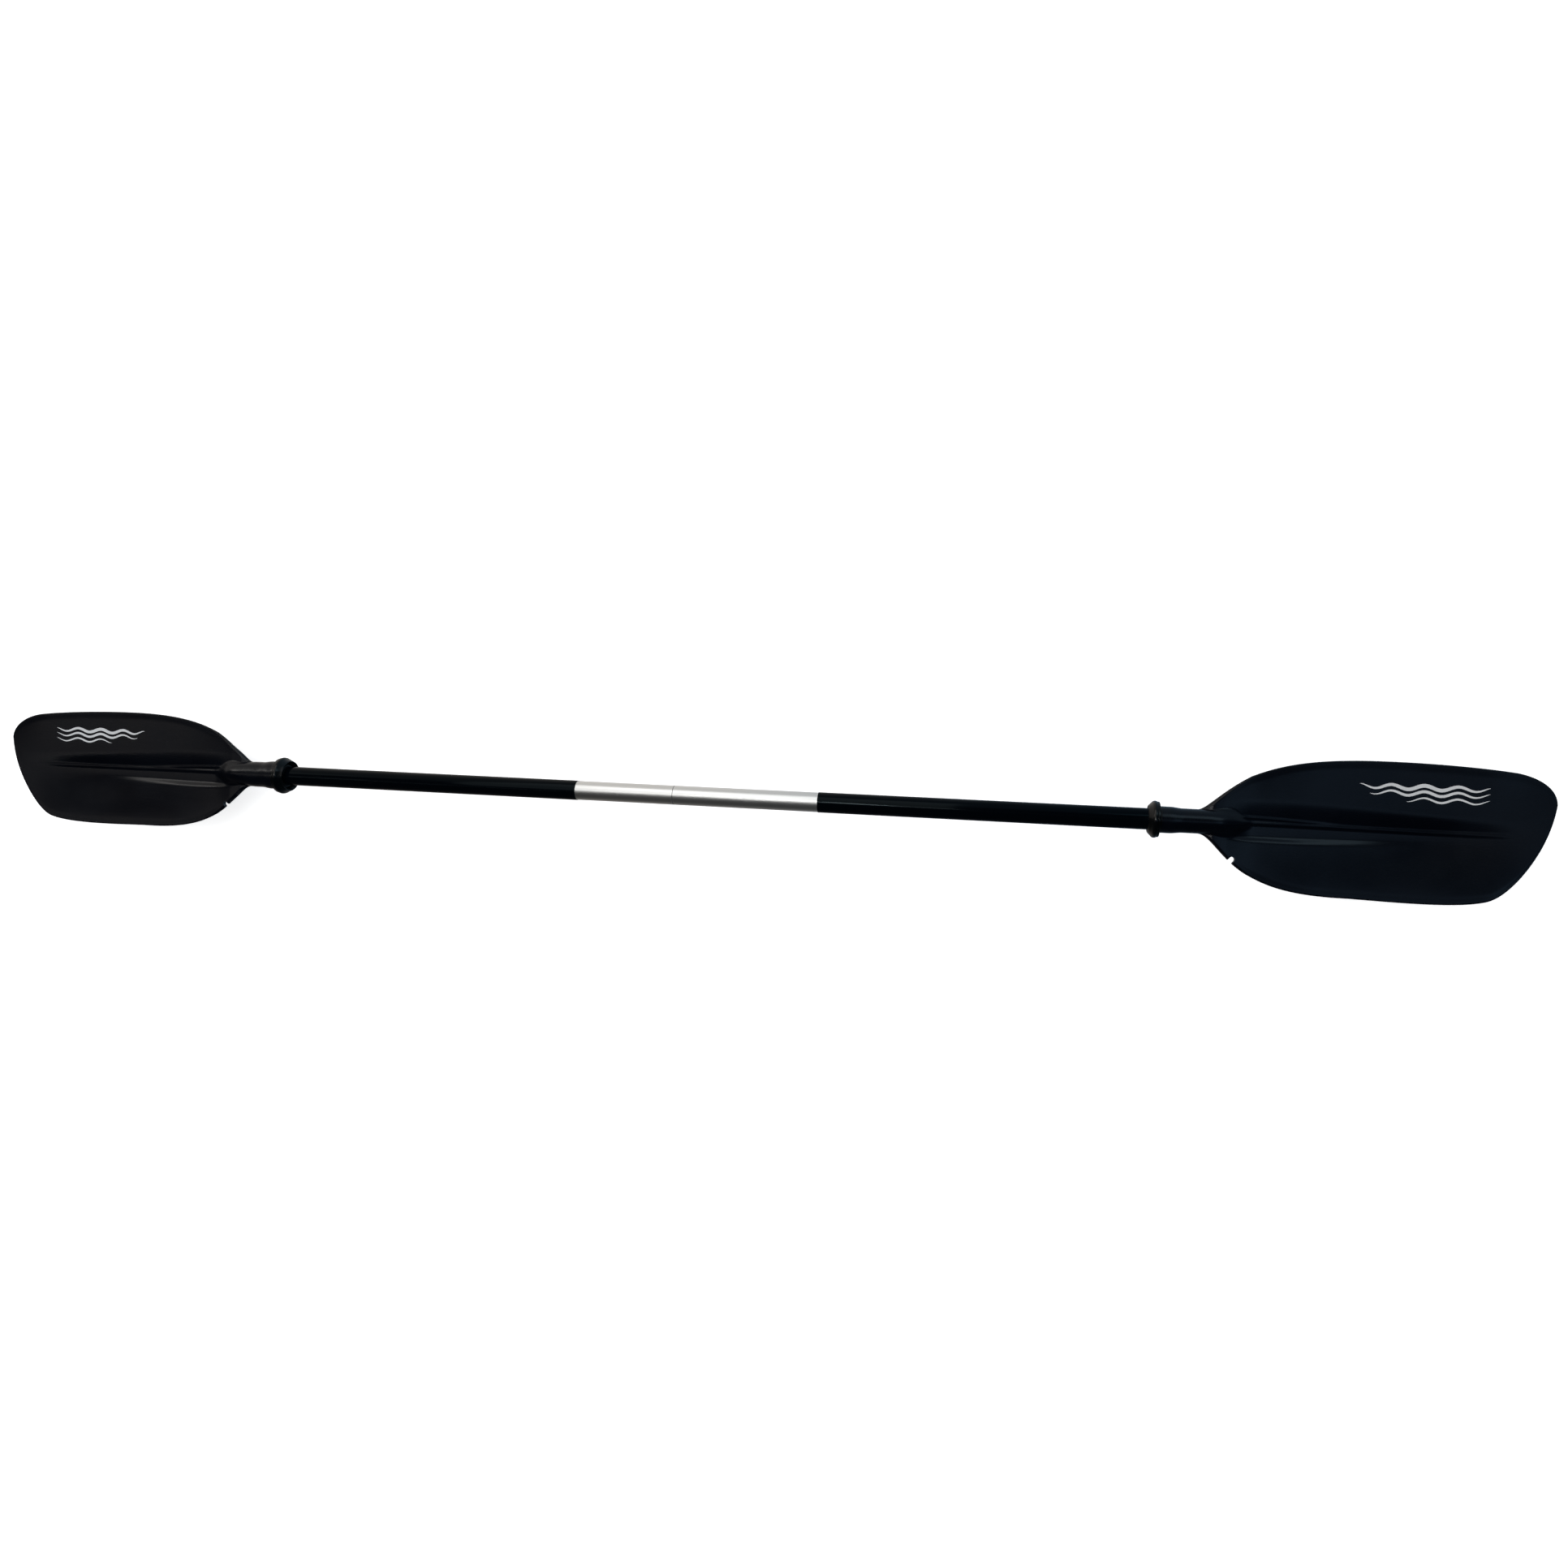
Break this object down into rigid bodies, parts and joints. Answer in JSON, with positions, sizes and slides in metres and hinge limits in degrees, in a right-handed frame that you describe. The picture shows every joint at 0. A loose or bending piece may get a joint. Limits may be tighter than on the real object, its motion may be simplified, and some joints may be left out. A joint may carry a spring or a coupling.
{
  "type": "kayak paddle",
  "caption": "Two-piece kayak paddle: spooned black plastic blades, bare and sleeved tube, a snap-button ferrule and sliding rubber drip rings.",
  "frame": {"origin": "on the shaft's axis at the seam between the two halves", "axes": "X along the shaft, from the left half (-X) to the right half (+X); +Z out of the blades' power faces; +Y towards the longer blade edges"},
  "size_m": [2.2, 0.177, 0.056],
  "materials": {
    "blade_plastic": "fine moulded texture, satin black with a faint blue cast",
    "blade_print": "thin white pad print",
    "tube_aluminium": "satin anodised, fine drawing lines along the tube",
    "sleeve_black": "glossy black shrink sleeve",
    "ring_rubber": "moulded rubber with a soft shine",
    "ferrule_aluminium": "drawn aluminium, bare",
    "rivet_aluminium": "blind rivet, bare",
    "button_steel": "polished stainless steel",
    "spring_steel": "stainless spring strip",
    "plug_plastic": "moulded polyethylene",
    "washer_plastic": "grey nylon"
  },
  "bodies": {
    "left_half": {"left_blade": "blade_plastic", "left_shaft_tube": "tube_aluminium", "left_grip_sleeve": "sleeve_black", "left_tube_plug": "plug_plastic", "left_blade_rivet": "rivet_aluminium", "ferrule_tube": "ferrule_aluminium", "ferrule_rivets": "rivet_aluminium", "ferrule_end_cap": "plug_plastic", "button_spring": "spring_steel"},
    "snap_button": {"snap_button": "button_steel"},
    "left_ring": {"left_drip_ring": "ring_rubber"},
    "seam": {"seam_washer": "washer_plastic"},
    "right_half": {"right_shaft_tube": "tube_aluminium", "right_grip_sleeve": "sleeve_black", "right_tube_plug": "plug_plastic", "right_blade": "blade_plastic", "right_blade_rivet": "rivet_aluminium"},
    "right_ring": {"right_drip_ring": "ring_rubber"}
  },
  "joints": [
    {"name": "button_press", "type": "slide", "parent": "left_half", "child": "snap_button", "axis": [0, 0, 1], "range_m": [0, 0.0048], "stiffness_N_per_m": 3000, "deforming": ["button_spring"]},
    {"name": "feather", "type": "hinge", "parent": "left_half", "child": "seam", "pos_m": [0, 0, 0], "axis": [1, 0, 0], "range_deg": [-60, 60], "deforming": ["snap_button", "button_spring"]},
    {"name": "pull_apart", "type": "slide", "parent": "seam", "child": "right_half", "axis": [1, 0, 0], "range_m": [0, 0.12], "deforming": ["snap_button"]},
    {"name": "left_ring_slide", "type": "slide", "parent": "left_half", "child": "left_ring", "axis": [1, 0, 0], "range_m": [0, 0.4]},
    {"name": "right_ring_slide", "type": "slide", "parent": "right_half", "child": "right_ring", "axis": [-1, 0, 0], "range_m": [0, 0.4]}
  ]
}
